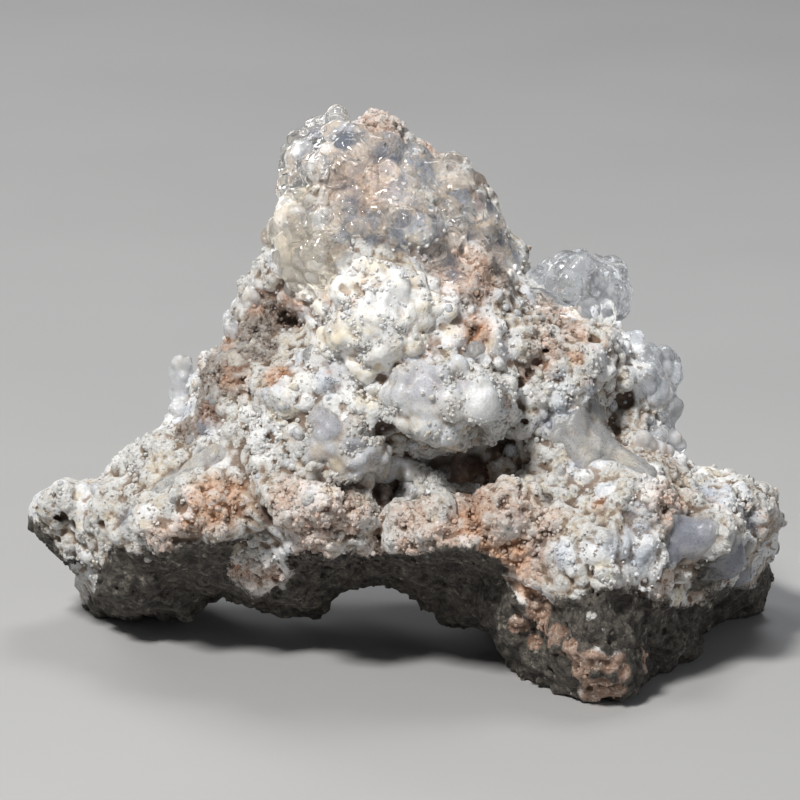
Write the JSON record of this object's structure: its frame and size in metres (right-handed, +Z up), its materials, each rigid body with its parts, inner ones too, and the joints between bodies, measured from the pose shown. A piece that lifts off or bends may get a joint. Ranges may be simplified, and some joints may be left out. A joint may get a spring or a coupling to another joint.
{
  "type": "hyalite opal hand specimen",
  "caption": "Mountain-shaped mineral specimen: clear and milky botryoidal opal crusts on a pale, iron-stained host rock with an arched underside.",
  "frame": {"origin": "under the middle of the specimen's box, on the surface that it stands on", "axes": "+X to the right of the front view, along the specimen's length; +Y away from the viewer; +Z up"},
  "size_m": [0.1022, 0.0562, 0.0735],
  "materials": {
    "host_rock": "matte, crumbly, white crust with tan and orange stains",
    "clear_opal": "glassy, transparent, colourless",
    "cloudy_opal": "glassy, translucent",
    "milky_opal": "waxy, milky bluish white",
    "white_opal": "porcelain-like, opaque cream white"
  },
  "bodies": {
    "root": {"host_rock": "host_rock", "peak_hyalite": "clear_opal", "crest_hyalite": "clear_opal", "shoulder_hyalite": "clear_opal", "grape_hyalite": "clear_opal", "lower_blade": "cloudy_opal", "upper_blade": "cloudy_opal", "milky_shelf": "milky_opal", "white_opal": "white_opal", "fringe_globules": "cloudy_opal"}
  },
  "joints": []
}
